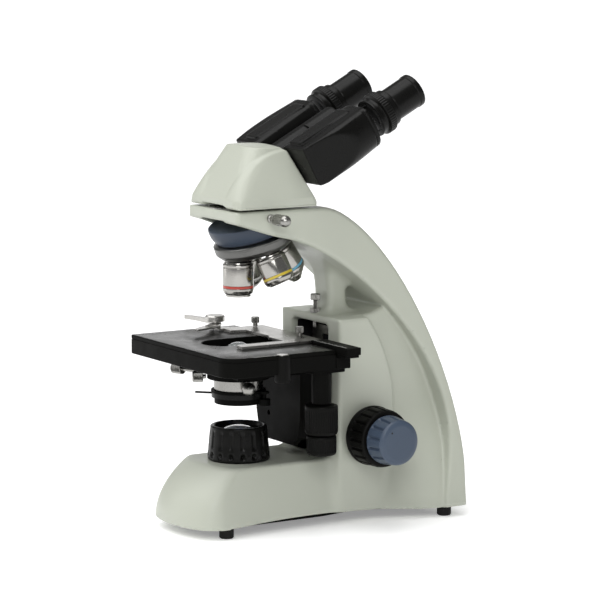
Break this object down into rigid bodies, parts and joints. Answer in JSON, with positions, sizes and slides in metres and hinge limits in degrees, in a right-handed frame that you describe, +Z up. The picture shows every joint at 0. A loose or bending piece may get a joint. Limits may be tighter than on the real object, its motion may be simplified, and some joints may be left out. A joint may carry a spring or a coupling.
{
  "type": "microscope",
  "caption": "White upright compound microscope with an arched stand, a tilted rotating nosepiece, a mechanical stage, coaxial focus knobs and an inclined binocular head.",
  "frame": {"origin": "on the table under the middle of the whole instrument's outline", "axes": "+Z up, -Y towards the lamp at the front of the base, +Y towards the arm and the eyepieces, +X towards the side that carries the stage drive knobs"},
  "size_m": [0.206, 0.252, 0.3708],
  "materials": {
    "white_paint": "satin",
    "black_plastic": "satin",
    "black_metal": "matte",
    "blue_plastic": "satin",
    "chrome": "polished",
    "steel": "satin",
    "brass": "satin",
    "glass": "gloss",
    "blue_glass": "gloss",
    "rubber": "matte",
    "led_board": "matte"
  },
  "bodies": {
    "stand": {"stand_casting": "white_paint", "bottom_plate": "black_metal", "foot_front_right": "rubber", "foot_front_left": "rubber", "foot_rear_right": "rubber", "foot_rear_left": "rubber", "led_module": "led_board", "collector_lens": "glass", "power_inlet": "black_plastic", "focus_guide": "steel", "nosepiece_dome": "blue_plastic"},
    "lamp_ring": {"collector_ring": "black_plastic"},
    "rocker": {"rocker_switch": "black_plastic"},
    "dial": {"brightness_dial": "black_plastic"},
    "tension": {"tension_collar": "black_plastic"},
    "coarse_drive": {"coarse_shaft": "steel", "coarse_knob_right": "black_plastic", "coarse_knob_left": "black_plastic"},
    "fine_drive": {"fine_shaft": "steel", "fine_knob_right": "blue_plastic", "fine_knob_left": "blue_plastic"},
    "stop_screw": {"stage_stop_screw": "chrome"},
    "lock_screw": {"head_lock_screw": "chrome"},
    "nosepiece": {"nosepiece_turret": "steel", "objective_4x": "chrome", "objective_10x": "chrome", "objective_40x": "chrome", "objective_100x": "chrome", "front_cell_40x": "chrome", "front_cell_100x": "chrome"},
    "carrier": {"stage_carrier": "black_metal", "focus_rack": "brass", "lower_stage_plate": "black_metal", "condenser_mount": "black_metal"},
    "clamp_screw": {"condenser_clamp_screw": "chrome"},
    "centring_screw": {"condenser_centring_screw": "chrome"},
    "condenser": {"condenser_body": "black_metal", "condenser_lens": "glass"},
    "condenser_lever": {"condenser_lever_ring": "chrome"},
    "iris": {"iris_ring": "black_metal"},
    "filter": {"filter_holder": "black_metal", "blue_filter": "blue_glass"},
    "upper_stage": {"upper_stage_plate": "black_metal", "drive_housing": "black_metal"},
    "y_knob": {"y_drive_knob": "black_plastic"},
    "x_knob": {"x_drive_knob": "black_plastic"},
    "holder": {"slide_holder": "steel", "x_rack_bar": "black_metal"},
    "finger": {"spring_finger": "steel"},
    "left_screw": {"holder_screw_left": "chrome"},
    "right_screw": {"holder_screw_right": "chrome"},
    "head": {"head_housing": "white_paint", "head_dovetail": "chrome", "hinge_axle": "steel"},
    "tube_right": {"prism_housing_right": "black_plastic"},
    "tube_left": {"prism_housing_left": "black_plastic"},
    "dioptre_right": {"dioptre_ring_right": "black_plastic"},
    "dioptre_left": {"dioptre_ring_left": "black_plastic"},
    "ocular_right": {"eyepiece_right": "black_plastic"},
    "ocular_left": {"eyepiece_left": "black_plastic"}
  },
  "joints": [
    {"name": "lamp_ring_turn", "type": "hinge", "parent": "stand", "child": "lamp_ring", "pos_m": [0.005, -0.0585, 0.06], "axis": [0, 0, 1], "range_deg": [0, 90]},
    {"name": "rocker_tip", "type": "hinge", "parent": "stand", "child": "rocker", "pos_m": [0.039, 0.1195, 0.03], "axis": [1, 0, 0], "range_deg": [0, 6]},
    {"name": "dial_turn", "type": "hinge", "parent": "stand", "child": "dial", "pos_m": [-0.0385, -0.0545, 0.034], "axis": [-1, 0, 0], "range_deg": [0, 270]},
    {"name": "tension_turn", "type": "hinge", "parent": "stand", "child": "tension", "pos_m": [0.054, 0.037, 0.075], "axis": [1, 0, 0], "range_deg": [-60, 0]},
    {"name": "focus_slide", "type": "slide", "parent": "stand", "child": "carrier", "axis": [0, 0, 1], "range_m": [-0.008, 0.016]},
    {"name": "coarse_turn", "type": "hinge", "parent": "stand", "child": "coarse_drive", "pos_m": [0.005, 0.037, 0.075], "axis": [-1, 0, 0], "range_deg": [-90, 170]},
    {"name": "fine_turn", "type": "hinge", "parent": "stand", "child": "fine_drive", "pos_m": [0.005, 0.037, 0.075], "axis": [1, 0, 0], "continuous": true},
    {"name": "stop_screw_turn", "type": "hinge", "parent": "stand", "child": "stop_screw", "pos_m": [0.005, 0.016, 0.18], "axis": [0, 0, 1], "range_deg": [-180, 180]},
    {"name": "lock_screw_turn", "type": "hinge", "parent": "stand", "child": "lock_screw", "pos_m": [0.055, -0.0525, 0.2593], "axis": [1, 0, 0], "range_deg": [-180, 180]},
    {"name": "nosepiece_turn", "type": "hinge", "parent": "stand", "child": "nosepiece", "pos_m": [0.005, -0.0585, 0.2858], "axis": [0, 0.2924, -0.9563], "continuous": true},
    {"name": "condenser_slide", "type": "slide", "parent": "carrier", "child": "condenser", "axis": [0, 0, 1], "range_m": [-0.006, 0]},
    {"name": "condenser_lever_turn", "type": "hinge", "parent": "carrier", "child": "condenser_lever", "pos_m": [0.005, -0.0585, 0.1193], "axis": [0, 0, 1], "range_deg": [0, 70]},
    {"name": "clamp_screw_turn", "type": "hinge", "parent": "carrier", "child": "clamp_screw", "pos_m": [-0.01981, -0.06753, 0.125], "axis": [-0.9397, -0.342, 0], "range_deg": [-180, 180]},
    {"name": "centring_screw_turn", "type": "hinge", "parent": "carrier", "child": "centring_screw", "pos_m": [-0.0082, -0.08136, 0.125], "axis": [-0.5, -0.866, 0], "range_deg": [-180, 180]},
    {"name": "iris_turn", "type": "hinge", "parent": "condenser", "child": "iris", "pos_m": [0.005, -0.0585, 0.1104], "axis": [0, 0, 1], "range_deg": [-40, 30]},
    {"name": "filter_swing", "type": "hinge", "parent": "condenser", "child": "filter", "pos_m": [0.0265, -0.0465, 0.105], "axis": [0, 0, 1], "range_deg": [0, 80]},
    {"name": "stage_y_slide", "type": "slide", "parent": "carrier", "child": "upper_stage", "axis": [0, 1, 0], "range_m": [-0.026, 0.008]},
    {"name": "y_knob_turn", "type": "hinge", "parent": "upper_stage", "child": "y_knob", "pos_m": [0.07, -0.0185, 0.09], "axis": [0, 0, 1], "range_deg": [-190, 60]},
    {"name": "stage_x_slide", "type": "slide", "parent": "upper_stage", "child": "holder", "axis": [1, 0, 0], "range_m": [-0.038, 0.038]},
    {"name": "x_knob_turn", "type": "hinge", "parent": "upper_stage", "child": "x_knob", "pos_m": [0.07, -0.0185, 0.075], "axis": [0, 0, 1], "range_deg": [-280, 280]},
    {"name": "finger_swing", "type": "hinge", "parent": "holder", "child": "finger", "pos_m": [-0.061, -0.0425, 0.16], "axis": [0, 0, 1], "range_deg": [-25, 0]},
    {"name": "left_screw_turn", "type": "hinge", "parent": "holder", "child": "left_screw", "pos_m": [-0.045, -0.0125, 0.16], "axis": [0, 0, 1], "range_deg": [-180, 180]},
    {"name": "right_screw_turn", "type": "hinge", "parent": "holder", "child": "right_screw", "pos_m": [0.023, -0.0105, 0.16], "axis": [0, 0, 1], "range_deg": [-180, 180]},
    {"name": "head_turn", "type": "hinge", "parent": "stand", "child": "head", "pos_m": [0.005, -0.0585, 0.266], "axis": [0, 0, 1], "continuous": true},
    {"name": "tube_right_swing", "type": "hinge", "parent": "head", "child": "tube_right", "pos_m": [0.005, -0.0228, 0.2998], "axis": [0, 0.8829, 0.4695], "range_deg": [-45, 0]},
    {"name": "tube_left_swing", "type": "hinge", "parent": "head", "child": "tube_left", "pos_m": [0.005, -0.0228, 0.2998], "axis": [0, 0.8829, 0.4695], "range_deg": [0, 45]},
    {"name": "ocular_right_slide", "type": "slide", "parent": "tube_right", "child": "ocular_right", "axis": [0, 0.8829, 0.4695], "range_m": [0, 0.004]},
    {"name": "dioptre_right_turn", "type": "hinge", "parent": "tube_right", "child": "dioptre_right", "pos_m": [0.045, -0.0228, 0.2998], "axis": [0, 0.8829, 0.4695], "range_deg": [0, 120]},
    {"name": "ocular_left_slide", "type": "slide", "parent": "tube_left", "child": "ocular_left", "axis": [0, 0.8829, 0.4695], "range_m": [0, 0.004]},
    {"name": "dioptre_left_turn", "type": "hinge", "parent": "tube_left", "child": "dioptre_left", "pos_m": [-0.035, -0.0228, 0.2998], "axis": [0, 0.8829, 0.4695], "range_deg": [0, 120]}
  ],
  "couplings": [
    {"joint": "coarse_turn", "follows": "focus_slide", "rad_per_m": 166.67},
    {"joint": "condenser_lever_turn", "follows": "condenser_slide", "rad_per_m": -200},
    {"joint": "y_knob_turn", "follows": "stage_y_slide", "rad_per_m": 125},
    {"joint": "x_knob_turn", "follows": "stage_x_slide", "rad_per_m": 125},
    {"joint": "tube_left_swing", "follows": "tube_right_swing", "ratio": -1},
    {"joint": "dioptre_right_turn", "follows": "ocular_right_slide", "rad_per_m": 500},
    {"joint": "dioptre_left_turn", "follows": "ocular_left_slide", "rad_per_m": 500}
  ]
}
